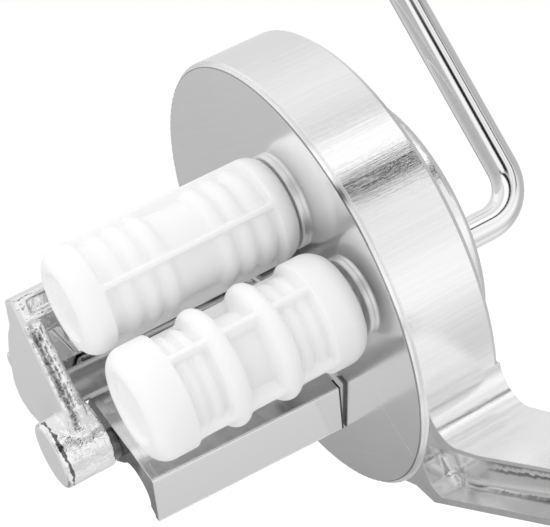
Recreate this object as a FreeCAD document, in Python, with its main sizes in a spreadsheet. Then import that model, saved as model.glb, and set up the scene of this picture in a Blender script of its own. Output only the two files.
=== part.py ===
import FreeCAD, Part
import Sketcher
import math
import os

# Hand cranked two-roller pasta shell maker with a table clamp.
# Frame: +Z up, origin on the table top under the middle of the upper jaw. The arm runs back
# from the jaw along +Y to a round gear drum. The rollers point to -X and the crank is on +X.
# Every length is in millimetres and every angle in degrees.

doc = FreeCAD.newDocument("PastaShellMaker")
sheet = doc.addObject("Spreadsheet::Sheet", "Dims")
Vector = FreeCAD.Vector

# ---------------------------------------------------------------- driving dimensions
DRIVING = {
    # drum and its place
    "drum_radius": 44.0, "drum_width": 15.9, "drum_wall": 4.0, "drum_back": 3.5,
    "drum_edge": 1.1, "drum_reach": 131.0, "drum_height": 46.4,
    "boss_radius": 26.5, "boss_rise": 3.6, "boss_fore": 14.0, "boss_lift": 1.8, "boss_round": 1.6,
    # mirror plate on the drum
    "plate_inset": 0.7, "plate_proud": 1.1, "plate_spigot": 1.5, "plate_round": 0.3,
    # the two shafts; the lower gear clears the drum's wall
    "gear_clear": 0.34, "lower_angle": 8.666, "pair_angle": 56.7,
    "gear_module": 1.0, "gear_teeth": 23, "gear_ease": 0.12, "gear_width": 7.0, "gear_start": 5.3,
    "gear_addendum": 0.95,
    "shaft_radius": 5.0, "bush_wall": 2.0, "upper_collar": 2.25, "lower_collar": 0.6, "collar_thick": 1.0,
    "collar_edge": 0.25,
    "bush_inside": 4.4, "run_gap": 0.05, "seat_gap": 0.05, "shoulder_wide": 0.7, "shoulder_radius": 6.2,
    "washer_thick": 0.5, "clip_thick": 0.6, "clip_groove": 0.5, "clip_rim": 1.6, "blind_skin": 1.4,
    "key_size": 2.0, "key_length": 5.6, "nose_square": 5.0, "nose_length": 31.0, "nose_gap": 0.06,
    "hub_length": 0.3, "socket_depth": 10.0,
    # rollers: profiles drawn on a grid from each end
    "upper_gap": 1.3, "upper_length": 43.7, "upper_radius": 10.2,
    "lower_gap": 2.7, "lower_length": 42.3, "lower_radius": 10.65,
    "roller_grid": 1.0, "ridge_pitch": 3.95, "ridge_height": 0.9, "groove_depth": 1.8,
    "waist_depth": 2.1, "scoop_depth": 3.3, "thread_depth": 2.4, "fin_thick": 1.2,
    "end_recess": 0.9, "end_recess_radius": 6.3, "upper_phase": 5.7, "lower_phase": 36.3,
    # end bracket, drawn from a bench point that lies beyond the lower shaft
    "bench_fore": 26.9, "bench_lift": 4.1,
    "rail_top": 19.5, "rail_tall": 5.2, "rail_front": 1.9, "rail_back": 18.2, "rail_length": 50.0,
    "rail_flat": 4.2, "roof_fold": 9.5, "roof_fold_z": 14.7, "roof_end_z": 10.8,
    "gusset_reach": 5.3, "gusset_top": 11.0, "gusset_foot": 6.5, "rail_corner": 1.6,
    "rail_recess": 1.3, "rail_rim": 1.2, "web_thick": 2.4, "web_bottom": 3.2, "web_end": 38.5,
    "web_lean": 2.6, "web_hole_top": 9.9, "web_hole_deep": 8.0,
    "end_plate_thick": 4.0, "end_grid": 1.0, "end_boss_radius": 6.7, "end_boss_y": 6.7,
    "end_boss_drop": 10.5, "end_boss_out": 4.0, "end_boss_length": 10.0, "end_boss_round": 0.7,
    "side_groove": 1.4, "ear_radius": 2.3,
    "rail_screw_radius": 1.5, "near_screw_y": 2.0, "near_screw_z": 16.9, "far_screw_y": 14.5,
    "far_screw_z": 10.0, "rail_screw_deep": 8.0, "screw_head": 2.7, "rail_head_tall": 2.0,
    # chute
    "chute_sheet": 1.2, "chute_length": 41.2, "chute_rise": 1.3, "chute_gap": 0.25,
    "chute_widen": 0.5, "chute_grid": 1.0,
    "crest_y": 14.5, "crest_z": 0.7, "fold_y": 13.4, "fold_z": -5.5, "shelf_y": -4.0,
    "shelf_z": -21.95, "lip_y": 5.0, "lip_z": -31.2, "chute_back_gap": 0.4, "chute_back_z": 2.3,
    "chute_back_top": 9.0, "chute_back_past": 1.6,
    "chute_flange": 1.4, "chute_screw_y": 9.6, "chute_screw_drop": 14.1, "chute_screw_radius": 1.25,
    "chute_screw_deep": 5.0, "spacer_radius": 3.0,
    # arm and clamp
    "arm_near": 12.3, "arm_knee": 6.6, "arm_mid": 11.55, "arm_far": 9.2, "arm_fillet": 5.5,
    "arm_start": 19.8, "pocket_depth": 5.4, "pocket_grid": 1.0, "pocket_end": 59.6,
    "pocket_gap": 0.3, "pocket_corner": 1.6, "pocket_round": 2.2,
    "rim_thick": 1.4, "jaw_length": 38.0, "spine_thick": 12.0, "clamp_mouth": 58.0,
    "lower_jaw_thick": 13.0, "lower_jaw_tip": 11.0, "corner_round": 8.0,
    "screw_radius": 5.0, "screw_length": 70.0, "pad_radius": 12.0, "pad_gap": 29.0,
    "pad_rim": 2.4, "pad_neck_radius": 7.2, "pad_neck_top": 5.0, "pad_tall": 9.0,
    "tip_radius": 4.4, "tip_start": 3.0, "tip_end": 7.5, "neck_radius": 3.2, "neck_end": 9.6,
    "thread_start": 0.8, "tip_gap": 0.1,
    "screw_head_radius": 7.5, "screw_head_tall": 11.0, "tommy_radius": 2.5, "tommy_length": 64.0,
    "tommy_cap_radius": 4.5, "tommy_cap_long": 6.0, "tommy_cap_skin": 1.0,
    # crank
    "rod_radius": 3.0, "rod_bend": 8.0, "crank_offset": 38.1, "crank_throw": 80.0, "crank_lean": 12.8,
    "grip_length": 58.0, "grip_radius": 11.5, "grip_gap": 0.3, "grip_grid": 1.0,
    "grip_washer_radius": 6.0, "grip_washer_thick": 1.0, "end_nut_radius": 5.0, "end_nut_long": 6.5,
    "nut_skin": 2.0,
}


class Size:
    """A number together with the sheet expression that gives it."""

    def __init__(self, value, text):
        self.value = float(value)
        self.text = text

    def __add__(self, other):
        other = size(other)
        return Size(self.value + other.value, f"({self.text} + {other.text})")

    def __sub__(self, other):
        other = size(other)
        return Size(self.value - other.value, f"({self.text} - {other.text})")

    def __mul__(self, other):
        other = size(other)
        return Size(self.value * other.value, f"({self.text} * {other.text})")

    def __truediv__(self, other):
        other = size(other)
        return Size(self.value / other.value, f"({self.text} / {other.text})")

    def __neg__(self):
        return Size(-self.value, f"(0 - {self.text})")

    def __radd__(self, other):
        return size(other) + self

    def __rsub__(self, other):
        return size(other) - self

    def __rmul__(self, other):
        return size(other) * self


def size(number):
    return number if isinstance(number, Size) else Size(number, f"{float(number):.6f}")


def cosine(angle):
    angle = size(angle)
    return Size(math.cos(math.radians(angle.value)), f"cos({angle.text})")


def sine(angle):
    angle = size(angle)
    return Size(math.sin(math.radians(angle.value)), f"sin({angle.text})")


def root(square):
    return Size(math.sqrt(square.value), f"sqrt({square.text})")


def reach(start, end):
    """The straight distance between two points."""
    across = end[0] - start[0]
    up = end[1] - start[1]
    return root(across * across + up * up)


class Sheet:
    """The driving dimensions by name, as Size values."""


dims = Sheet()
for row, (alias, number) in enumerate(DRIVING.items(), start=1):
    sheet.set(f"A{row}", alias)
    sheet.set(f"B{row}", str(number))
    sheet.setAlias(f"B{row}", alias)
    setattr(dims, alias, Size(number, f"Dims.{alias}"))
doc.recompute()


# ---------------------------------------------------------------- modelling helpers
def bind(item, **sizes):
    for name, value in sizes.items():
        item.setExpression(name, size(value).text)


def place(item, x=0, y=0, z=0, axis=None, angle=0):
    """Binds an object's Placement: a turn about an axis through its own origin, then a move."""
    if axis is not None:
        item.Placement = FreeCAD.Placement(Vector(0, 0, 0), FreeCAD.Rotation(axis, size(angle).value))
        item.setExpression("Placement.Rotation.Angle", size(angle).text)
    for name, value in (("x", x), ("y", y), ("z", z)):
        item.setExpression(f"Placement.Base.{name}", size(value).text)


def body(label):
    made = doc.addObject("PartDesign::Body", label)
    made.Label = label
    return made


def plane(owner, role):
    return [item for item in owner.Origin.OriginFeatures if item.Role == role][0]


def sketch(owner, role="YZ_Plane", offset=0, turn=0):
    """A sketch on one of its body's planes, moved along its normal and turned clockwise in it."""
    made = owner.newObject("Sketcher::SketchObject", "Sketch")
    made.AttachmentSupport = [(plane(owner, role), "")]
    made.MapMode = "FlatFace"
    turn = size(turn)
    made.AttachmentOffset = FreeCAD.Placement(
        Vector(0, 0, 0), FreeCAD.Rotation(Vector(0, 0, -1), turn.value))
    made.setExpression("AttachmentOffset.Base.z", size(offset).text)
    if turn.value:
        made.setExpression("AttachmentOffset.Rotation.Angle", turn.text)
    return made


def fix_point(target, geometry, end, point):
    for kind, value in (("DistanceX", point[0]), ("DistanceY", point[1])):
        value = size(value)
        index = target.addConstraint(Sketcher.Constraint(kind, -1, 1, geometry, end, value.value))
        target.setExpression(f"Constraints[{index}]", value.text)


def outline(target, points, closed=True):
    """An outline of straight lines; a point (y, z, radius) is reached by an arc.

    A positive radius keeps the arc's centre on the left of the way from point to point.
    """
    first = target.GeometryCount
    count = len(points)
    runs = range(count if closed else count - 1)
    for index in runs:
        start = points[index]
        end = points[(index + 1) % count]
        a = Vector(size(start[0]).value, size(start[1]).value, 0)
        b = Vector(size(end[0]).value, size(end[1]).value, 0)
        if len(end) == 2:
            target.addGeometry(Part.LineSegment(a, b), False)
            continue
        radius = size(end[2]).value
        chord = b - a
        sag = abs(radius) - math.sqrt(radius ** 2 - chord.Length ** 2 / 4)
        side = Vector(chord.y, -chord.x, 0).normalize() * math.copysign(sag, radius)
        target.addGeometry(Part.Arc(a, (a + b) * 0.5 + side, b), False)
    flipped = [starts_at_end(target, first + index, points[index]) for index in runs]
    for index in runs if closed else runs[:-1]:
        following = (index + 1) % count
        leave = 1 if flipped[index] else 2
        arrive = 2 if flipped[following] else 1
        target.addConstraint(
            Sketcher.Constraint("Coincident", first + index, leave, first + following, arrive))
    for index in runs:
        fix_point(target, first + index, 2 if flipped[index] else 1, points[index])
    if not closed:
        last = runs[-1]
        fix_point(target, first + last, 1 if flipped[last] else 2, points[-1])
    for index in runs:
        end = points[(index + 1) % count]
        if len(end) == 3:
            radius = size(end[2])
            radius = radius if radius.value > 0 else -radius
            made = target.addConstraint(Sketcher.Constraint("Radius", first + index, radius.value))
            target.setExpression(f"Constraints[{made}]", radius.text)
    return target


def starts_at_end(target, geometry, point):
    """Whether a point is the sketch's own end of an edge, as it is for clockwise arcs."""
    wanted = Vector(size(point[0]).value, size(point[1]).value, 0)
    begin = target.getPoint(geometry, 1)
    finish = target.getPoint(geometry, 2)
    return begin.distanceToPoint(wanted) > finish.distanceToPoint(wanted)


def ring(target, centre, radius):
    radius = size(radius)
    middle = Vector(size(centre[0]).value, size(centre[1]).value, 0)
    index = target.addGeometry(Part.Circle(middle, Vector(0, 0, 1), radius.value), False)
    fix_point(target, index, 3, centre)
    made = target.addConstraint(Sketcher.Constraint("Radius", index, radius.value))
    target.setExpression(f"Constraints[{made}]", radius.text)
    return target


def block(target, centre, width, height):
    half_wide = size(width) / 2
    half_tall = size(height) / 2
    left = centre[0] - half_wide
    right = centre[0] + half_wide
    low = centre[1] - half_tall
    high = centre[1] + half_tall
    return outline(target, [(left, low), (right, low), (right, high), (left, high)])


def pad(owner, target, length, reverse=False):
    made = owner.newObject("PartDesign::Pad", "Pad")
    made.Profile = target
    made.Reversed = reverse
    bind(made, Length=length)
    doc.recompute()
    return made


def pocket(owner, target, depth, reverse=False):
    before = owner.Shape.Volume
    made = owner.newObject("PartDesign::Pocket", "Pocket")
    made.Profile = target
    made.Reversed = reverse
    bind(made, Length=depth)
    doc.recompute()
    if owner.Shape.Volume > before - 1e-6:
        raise RuntimeError(f"{owner.Label}: a pocket cuts nothing")
    return made


def revolve(owner, target, axis="H_Axis"):
    """Turns a profile a full turn about one of its sketch's own axes."""
    made = owner.newObject("PartDesign::Revolution", "Turned")
    made.Profile = target
    made.ReferenceAxis = (target, [axis])
    made.Angle = 360
    doc.recompute()
    return made


def edges_where(owner, test):
    return [f"Edge{index}" for index, edge in enumerate(owner.Shape.Edges, start=1) if test(edge)]


def is_circle(edge, radius, x=None):
    curve = edge.Curve
    if curve.TypeId != "Part::GeomCircle" or abs(curve.Radius - size(radius).value) > 1e-4:
        return False
    return x is None or abs(curve.Center.x - size(x).value) < 1e-4


def lies_at(edge, x):
    """Whether an edge lies wholly at one x."""
    return all(abs(point.Point.x - size(x).value) < 1e-4 for point in edge.Vertexes)


def stands_at(edge, x):
    """Whether an edge runs along X and has one end at an x."""
    ends = [point.Point for point in edge.Vertexes]
    if len(ends) != 2 or abs(abs(ends[0].x - ends[1].x) - edge.Length) > 1e-4:
        return False
    return any(abs(end.x - size(x).value) < 1e-4 for end in ends)


def ease(owner, kind, edges, amount):
    """A Fillet or Chamfer on named edges of a body's last feature."""
    last = owner.Tip
    made = owner.newObject(f"PartDesign::{kind}", kind)
    made.Base = (last, edges)
    bind(made, **{"Radius" if kind == "Fillet" else "Size": amount})
    doc.recompute()
    return made


def turned(label, points, x=0, y=0, z=0):
    """A solid of revolution about X from (x, radius) points, then moved."""
    made = body(label)
    revolve(made, outline(sketch(made, "XZ_Plane"), points))
    place(made, x, y, z)
    return made


def cylinder(name, radius, length, x=0, y=0, z=0, along="x"):
    made = doc.addObject("Part::Cylinder", name)
    bind(made, Radius=radius, Height=length)
    if along == "x":
        place(made, x, y, z, Vector(0, 1, 0), 90)
    elif along == "y":
        place(made, x, y, z, Vector(1, 0, 0), -90)
    else:
        place(made, x, y, z)
    return made


def boolean(kind, label, first, second):
    made = doc.addObject(f"Part::{kind}", label)
    made.Label = label
    if kind == "MultiFuse":
        made.Shapes = [first] + second
    else:
        made.Base = first
        made.Tool = second
    return made


def washer(label, outer, bore, thick, x, y, z):
    disc = cylinder(f"{label}_disc", outer, thick, x, y, z)
    hole = cylinder(f"{label}_hole", bore, thick * 3, x - thick, y, z)
    return boolean("Cut", label, disc, hole)


nodes = {}


def keep(label, item):
    nodes[label] = item
    return item


# ---------------------------------------------------------------- places worked out once
front = -dims.drum_width / 2                    # front face of the casting
back = dims.drum_width / 2                      # back face of the casting
face = front - dims.plate_proud                 # outer face of the mirror plate
boss_back = back + dims.boss_rise               # back of the raised boss
drum_y = dims.drum_reach
drum_z = dims.drum_height
gear_tip = dims.gear_module * (dims.gear_teeth / 2 + dims.gear_addendum)
lower_out = dims.drum_radius - dims.drum_wall - gear_tip - dims.gear_clear
lower_y = drum_y - lower_out * cosine(dims.lower_angle)
lower_z = drum_z - lower_out * sine(dims.lower_angle)
axis_gap = dims.gear_module * dims.gear_teeth + dims.gear_ease
upper_y = lower_y + axis_gap * cosine(dims.pair_angle)
upper_z = lower_z + axis_gap * sine(dims.pair_angle)
AXES = {"lower": (lower_y, lower_z), "upper": (upper_y, upper_z)}
bush_radius = dims.shaft_radius + dims.run_gap + dims.bush_wall
gear_front = face + dims.gear_start
gear_back = gear_front + dims.gear_width
inner_wall = back - dims.drum_back              # inside face of the drum's back wall
hub_end = boss_back + dims.hub_length           # crank side end of the lower shaft
plate_radius = dims.drum_radius - dims.plate_inset
bench_y = lower_y + dims.bench_fore             # the bracket and the chute are drawn from here
bench_z = lower_z + dims.bench_lift
RAIL_SCREWS = [(bench_y + dims.near_screw_y, bench_z + dims.near_screw_z),
               (bench_y + dims.far_screw_y, bench_z + dims.far_screw_z)]
leg_x = face + dims.crank_offset                # middle of the crank's leg
grip_y = lower_y + dims.crank_throw * sine(dims.crank_lean)
grip_z = lower_z + dims.crank_throw * cosine(dims.crank_lean)
grip_start = leg_x + dims.rod_bend + dims.grip_washer_thick + dims.grip_gap
grip_end = grip_start + dims.grip_length


# ---------------------------------------------------------------- housing casting
def make_housing():
    """Drum, arm and table clamp, one casting."""
    made = body("housing")
    drum = sketch(made, "YZ_Plane", front)
    ring(drum, (drum_y, drum_z), dims.drum_radius)
    pad(made, drum, dims.drum_width)
    ease(made, "Chamfer", edges_where(made, lambda e: is_circle(e, dims.drum_radius, back)),
         dims.drum_edge)

    half_jaw = dims.jaw_length / 2
    spine_back = half_jaw + dims.spine_thick
    floor = -dims.clamp_mouth
    bottom = floor - dims.lower_jaw_thick
    fillet_y = root((dims.drum_radius + dims.arm_fillet) * (dims.drum_radius + dims.arm_fillet)
                    - (drum_z - dims.arm_near - dims.arm_fillet)
                    * (drum_z - dims.arm_near - dims.arm_fillet))
    knee_y = drum_y - fillet_y - dims.arm_knee
    share = dims.drum_radius / (dims.drum_radius + dims.arm_fillet)
    touch_y = drum_y - fillet_y * share
    touch_z = drum_z - (drum_z - dims.arm_near - dims.arm_fillet) * share
    arm = sketch(made, "YZ_Plane", front)
    outline(arm, [
        (drum_y - 6, drum_z - dims.drum_radius + 2),
        (drum_y - dims.arm_start + 5, dims.arm_near / 4),
        (drum_y - dims.arm_start, 0),
        (spine_back + dims.corner_round, 0),
        (spine_back, -dims.corner_round, dims.corner_round),
        (spine_back, bottom + dims.corner_round),
        (spine_back - dims.corner_round, bottom, -dims.corner_round),
        (-dims.lower_jaw_tip, bottom),
        (-dims.lower_jaw_tip, floor),
        (half_jaw, floor),
        (half_jaw, 0),
        (-half_jaw, 0),
        (-half_jaw, dims.arm_far),
        (knee_y, dims.arm_mid),
        (drum_y - fillet_y, dims.arm_near),
        (touch_y, touch_z, dims.arm_fillet),
        (drum_y - 6, drum_z - 20),
    ])
    pad(made, arm, dims.drum_width)

    cavity = sketch(made, "YZ_Plane", front)
    ring(cavity, (drum_y, drum_z), dims.drum_radius - dims.drum_wall)
    pocket(made, cavity, dims.drum_width - dims.drum_back, reverse=True)

    boss = sketch(made, "YZ_Plane", back)
    ring(boss, (drum_y - dims.boss_fore, drum_z + dims.boss_lift), dims.boss_radius)
    pad(made, boss, dims.boss_rise)
    ease(made, "Fillet", edges_where(made, lambda e: is_circle(e, dims.boss_radius, boss_back)),
         dims.boss_round)

    through = sketch(made, "YZ_Plane", inner_wall)
    ring(through, AXES["lower"], bush_radius)
    pocket(made, through, dims.drum_back + dims.boss_rise, reverse=True)
    blind = sketch(made, "YZ_Plane", inner_wall)
    ring(blind, AXES["upper"], bush_radius)
    pocket(made, blind, dims.drum_back + dims.boss_rise - dims.blind_skin, reverse=True)

    grid = dims.pocket_grid
    start = spine_back + dims.corner_round + 6 * grid
    bow = dims.drum_radius + dims.pocket_gap
    near_y = drum_y - bow * cosine(dims.pocket_end)
    near_z = drum_z - bow * sine(dims.pocket_end)
    top_z = dims.arm_near - 0.1 * grid
    top_y = drum_y - root(bow * bow - (drum_z - top_z) * (drum_z - top_z))
    for offset, away in ((front, True), (back, False)):
        recess = sketch(made, "YZ_Plane", offset)
        outline(recess, [
            (start, dims.rim_thick),
            (near_y - 1.6 * grid, dims.rim_thick),
            (near_y + 0.6 * grid, dims.rim_thick + 2.1 * grid),
            (near_y, near_z),
            (top_y, top_z, -bow),
            (top_y - 8 * grid, dims.arm_near - 0.55 * grid),
            (knee_y, dims.arm_mid - 0.75 * grid),
            (start, dims.arm_far + 0.8 * grid),
        ])
        pocket(made, recess, dims.pocket_depth, reverse=away)
        floor_x = offset + (dims.pocket_depth if away else -dims.pocket_depth)
        ease(made, "Fillet", edges_where(made, lambda e: stands_at(e, floor_x)), dims.pocket_corner)
        ease(made, "Fillet", edges_where(made, lambda e: lies_at(e, floor_x)), dims.pocket_round)

    bore = sketch(made, "XY_Plane", bottom)
    ring(bore, (0, 0), dims.screw_radius + dims.run_gap)
    pocket(made, bore, dims.lower_jaw_thick, reverse=True)
    return keep("housing", made)


# ---------------------------------------------------------------- mirror plate
def make_face_plate():
    made = body("face_plate")
    disc = sketch(made, "YZ_Plane", face)
    ring(disc, (drum_y, drum_z), plate_radius)
    pad(made, disc, dims.plate_proud)
    ease(made, "Fillet", edges_where(made, lambda e: is_circle(e, plate_radius, face)),
         dims.plate_round)
    spigot = sketch(made, "YZ_Plane", front)
    ring(spigot, (drum_y, drum_z), dims.drum_radius - dims.drum_wall - dims.seat_gap)
    pad(made, spigot, dims.plate_spigot)
    holes = sketch(made, "YZ_Plane", face)
    for centre in AXES.values():
        ring(holes, centre, bush_radius)
    pocket(made, holes, dims.plate_proud + dims.plate_spigot, reverse=True)
    screws = sketch(made, "YZ_Plane", face)
    for centre in RAIL_SCREWS:
        ring(screws, centre, dims.rail_screw_radius + dims.run_gap)
    pocket(made, screws, dims.plate_proud + dims.plate_spigot, reverse=True)
    return keep("face_plate", made)


# ---------------------------------------------------------------- bushes, shafts and gears
def make_bushes():
    inner = dims.shaft_radius + dims.run_gap
    for name, (y, z) in AXES.items():
        flanged = f"{name}_front_bush"
        collar = bush_radius + (dims.upper_collar if name == "upper" else dims.lower_collar)
        keep(flanged, turned(flanged, [
            (-dims.collar_thick, inner),
            (dims.bush_inside, inner),
            (dims.bush_inside, bush_radius),
            (0, bush_radius),
            (0, collar),
            (dims.collar_edge - dims.collar_thick, collar),
            (-dims.collar_thick, collar - dims.collar_edge),
        ], face, y, z))
        plain = f"{name}_back_bush"
        depth = dims.drum_back + dims.boss_rise
        if name == "upper":
            depth = depth - dims.blind_skin
        keep(plain, turned(plain, [
            (0, inner), (depth, inner), (depth, bush_radius), (0, bush_radius),
        ], inner_wall, y, z))


def make_shaft(name, tail, phase, socket=False):
    """Shaft with a square nose for the roller, a shoulder, a clip groove and a keyway."""
    y, z = AXES[name]
    label = f"{name}_shaft"
    made = body(label)
    nose_start = face - dims.collar_thick - 0.1
    core = outline(sketch(made, "XZ_Plane"), [
        (nose_start, 0),
        (tail, 0),
        (tail, dims.shaft_radius),
        (gear_back + dims.shoulder_wide, dims.shaft_radius),
        (gear_back + dims.shoulder_wide, dims.shoulder_radius),
        (gear_back, dims.shoulder_radius),
        (gear_back, dims.shaft_radius),
        (gear_front, dims.shaft_radius),
        (gear_front, dims.shaft_radius - dims.clip_groove),
        (gear_front - dims.clip_thick, dims.shaft_radius - dims.clip_groove),
        (gear_front - dims.clip_thick, dims.shaft_radius),
        (nose_start, dims.shaft_radius),
    ])
    revolve(made, core)
    nose = block(sketch(made, "YZ_Plane", nose_start, phase), (size(0), size(0)),
                 dims.nose_square, dims.nose_square)
    pad(made, nose, dims.nose_length, reverse=True)
    keyway = sketch(made, "XY_Plane", dims.shaft_radius - dims.key_size / 2)
    key_x = (gear_front + gear_back) / 2
    block(keyway, (key_x, size(0)), dims.key_length, dims.key_size)
    pocket(made, keyway, dims.key_size, reverse=True)
    if socket:
        hollow = ring(sketch(made, "YZ_Plane", tail), (0, 0), dims.rod_radius)
        pocket(made, hollow, dims.socket_depth)
    place(made, 0, y, z)
    return keep(label, made)


def make_keys():
    for name, (y, z) in AXES.items():
        key = doc.addObject("Part::Box", f"{name}_key")
        key.Label = f"{name}_key"
        bind(key, Length=dims.key_length, Width=dims.key_size, Height=dims.key_size)
        place(key, (gear_front + gear_back - dims.key_length) / 2, y - dims.key_size / 2,
              z + dims.shaft_radius - dims.key_size / 2)
        keep(f"{name}_key", key)


def involute(base, radius):
    """Angle of an involute of the base circle where it reaches a radius."""
    return math.sqrt((radius / base) ** 2 - 1) - math.acos(base / radius)


def make_gear(name, turn):
    """Involute spur gear; turn is the direction of the middle of one tooth space."""
    module = dims.gear_module.value
    teeth = int(dims.gear_teeth.value)
    width = dims.gear_width.value
    bore = dims.shaft_radius.value + dims.seat_gap.value / 2
    pressure = math.radians(20)
    pitch = module * teeth / 2
    base = pitch * math.cos(pressure)
    tip = gear_tip.value
    bottom = pitch - 1.25 * module
    thin = 0.03 * module
    half_tooth = math.pi / (2 * teeth) - thin / pitch + involute(base, pitch)
    flank_radii = [base + (tip - base) * step / 4 for step in range(5)]
    edges = []
    corners = []

    def at(radius, angle):
        return Vector(0, radius * math.cos(angle), radius * math.sin(angle))

    for tooth in range(teeth):
        middle = math.radians(turn) + 2 * math.pi * (tooth + 0.5) / teeth
        angles = [half_tooth - involute(base, radius) for radius in flank_radii]
        rising = [at(r, middle - a) for r, a in zip(flank_radii, angles)]
        falling = [at(r, middle + a) for r, a in zip(flank_radii, angles)][::-1]
        foot = at(bottom, middle - half_tooth)
        heel = at(bottom, middle + half_tooth)
        corners.append((foot, heel, middle))
        for side in (rising, falling):
            curve = Part.BSplineCurve()
            curve.interpolate(side)
            edges.append(curve.toShape())
        edges.append(Part.Arc(rising[-1], at(tip, middle), falling[0]).toShape())
        edges.append(Part.makeLine(foot, rising[0]))
        edges.append(Part.makeLine(falling[-1], heel))
    for index, (foot, heel, middle) in enumerate(corners):
        following = corners[(index + 1) % teeth][0]
        gap = at(bottom, middle + math.pi / teeth)
        edges.append(Part.Arc(heel, gap, following).toShape())
    rim = Part.Wire(Part.__sortEdges__(edges))
    blank = Part.Face(rim).extrude(Vector(width, 0, 0))
    hole = Part.makeCylinder(bore, width, Vector(0, 0, 0), Vector(1, 0, 0))
    size_key = dims.key_size.value
    key_gap = dims.seat_gap.value / 2
    slot = Part.makeBox(width, size_key + 2 * key_gap, dims.shaft_radius.value + size_key / 2 + key_gap,
                        Vector(0, -size_key / 2 - key_gap, 0))
    y, z = AXES[name]
    gear = doc.addObject("Part::Feature", f"{name}_gear")
    gear.Label = f"{name}_gear"
    gear.Shape = blank.cut(hole).cut(slot)
    place(gear, gear_front, y, z)
    return keep(f"{name}_gear", gear)


def make_rings():
    """Retaining clips before the gears and thrust washers behind their shoulders."""
    for name, (y, z) in AXES.items():
        keep(f"{name}_clip", washer(f"{name}_clip", dims.shaft_radius + dims.clip_rim,
                                    dims.shaft_radius - dims.clip_groove + 0.02,
                                    dims.clip_thick - 0.04,
                                    gear_front - dims.clip_thick + 0.02, y, z))
        keep(f"{name}_washer", washer(f"{name}_washer", bush_radius, dims.shaft_radius + 0.1,
                                      dims.washer_thick - 0.04,
                                      gear_back + dims.shoulder_wide + 0.02, y, z))


# ---------------------------------------------------------------- rollers
def make_roller(name, points, radius, gap, end, phase):
    y, z = AXES[name]
    label = f"{name}_roller"
    made = body(label)
    revolve(made, outline(sketch(made, "XZ_Plane"), points))
    inset = 4 * dims.roller_grid
    fins = sketch(made, "YZ_Plane", inset - end)
    block(fins, (size(0), size(0)), radius * 2, dims.fin_thick)
    rib = pad(made, fins, end - inset * 2)
    star = made.newObject("PartDesign::PolarPattern", "Fins")
    star.Originals = [rib]
    star.Axis = (x_axis(made), [""])
    star.Angle = 90
    star.Occurrences = 2
    made.Tip = star
    doc.recompute()
    square = dims.nose_square + dims.nose_gap * 2
    socket = block(sketch(made, "YZ_Plane", 0), (size(0), size(0)), square, square)
    pocket(made, socket, dims.nose_length + dims.collar_thick)
    dish = ring(sketch(made, "YZ_Plane", -end), (0, 0), dims.end_recess_radius)
    pocket(made, dish, dims.end_recess, reverse=True)
    place(made, face - gap, y, z, Vector(-1, 0, 0), phase)
    return keep(label, made)


def x_axis(owner):
    return [item for item in owner.Origin.OriginFeatures if item.Role == "X_Axis"][0]


def roller_ends(radius, length):
    """The two rounded end caps: the root's first points and the free end's last points."""
    grid = dims.roller_grid
    root_end = [(0, 0), (0, radius - 1.6 * grid), (-2.9 * grid, radius, 4.6 * grid)]
    free_end = [(3 * grid - length, radius), (1.1 * grid - length, radius - 0.75 * grid, 3 * grid),
                (-length, radius - 3.4 * grid, 3.2 * grid), (-length, 0)]
    return root_end, free_end


def make_upper_roller():
    """Three round ridges at each end and a plain waist between them."""
    grid = dims.roller_grid
    radius = dims.upper_radius
    length = dims.upper_length
    groove = radius - dims.groove_depth
    waist = radius - dims.waist_depth
    half = 1.7 * grid
    rise = dims.groove_depth - dims.ridge_height
    arch = (rise * rise + half * half) / (rise * 2)
    root_first = -6.55 * grid
    free_first = 17.4 * grid - length
    start, finish = roller_ends(radius, length)
    points = list(start)
    points.append((-3.95 * grid, radius))
    points.append((-4.35 * grid, groove))
    for first in (root_first, free_first):
        for step in range(3):
            crest = first - dims.ridge_pitch * step
            points.append((crest + half, groove))
            points.append((crest - half, groove, arch))
        if first is root_first:
            points.append((root_first - dims.ridge_pitch * 2 - half - 0.6 * grid, waist))
            points.append((free_first + half + 0.6 * grid, waist))
    points.append((5.8 * grid - length, groove))
    points.append((5.5 * grid - length, radius))
    points += finish
    return make_roller("upper", points, radius, dims.upper_gap, length, dims.upper_phase)


def make_lower_roller():
    """Two tall round hoops round the middle scoop, with fine threads beyond them."""
    grid = dims.roller_grid
    radius = dims.lower_radius
    length = dims.lower_length
    shallow = radius - dims.thread_depth
    foot = radius - 0.7 * grid
    scoop = radius - dims.scoop_depth
    start, finish = roller_ends(radius, length)
    middle = -20.8 * grid
    points = list(start)
    points.append((middle + 13.8 * grid, radius))
    points.append((middle + 13.2 * grid, shallow))
    for centre in (11.85, 9.0):
        points.append((middle + (centre + 1.1) * grid, shallow))
        points.append((middle + (centre - 1.1) * grid, shallow, 1.15 * grid))
    points.append((middle + 7.2 * grid, shallow))
    points.append((middle + 6.9 * grid, foot))
    points.append((middle + 3.2 * grid, foot, 2.05 * grid))
    points.append((middle + 2.6 * grid, scoop))
    middle = 21.5 * grid - length
    points.append((middle - 2.6 * grid, scoop))
    points.append((middle - 3.2 * grid, foot))
    points.append((middle - 6.9 * grid, foot, 2.05 * grid))
    points.append((middle - 7.2 * grid, shallow))
    for centre in (9.0, 11.85):
        points.append((middle - (centre - 1.1) * grid, shallow))
        points.append((middle - (centre + 1.1) * grid, shallow, 1.15 * grid))
    points.append((middle - 13.2 * grid, shallow))
    points.append((middle - 13.8 * grid, radius))
    points += finish
    return make_roller("lower", points, radius, dims.lower_gap, length, dims.lower_phase)


# ---------------------------------------------------------------- end bracket
def from_bench(points, grid=1):
    """Points given from the bench point, as (y, z) with an optional arc radius."""
    return [(bench_y + point[0] * grid, bench_z + point[1] * grid)
            + tuple(radius * grid for radius in point[2:]) for point in points]


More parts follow.
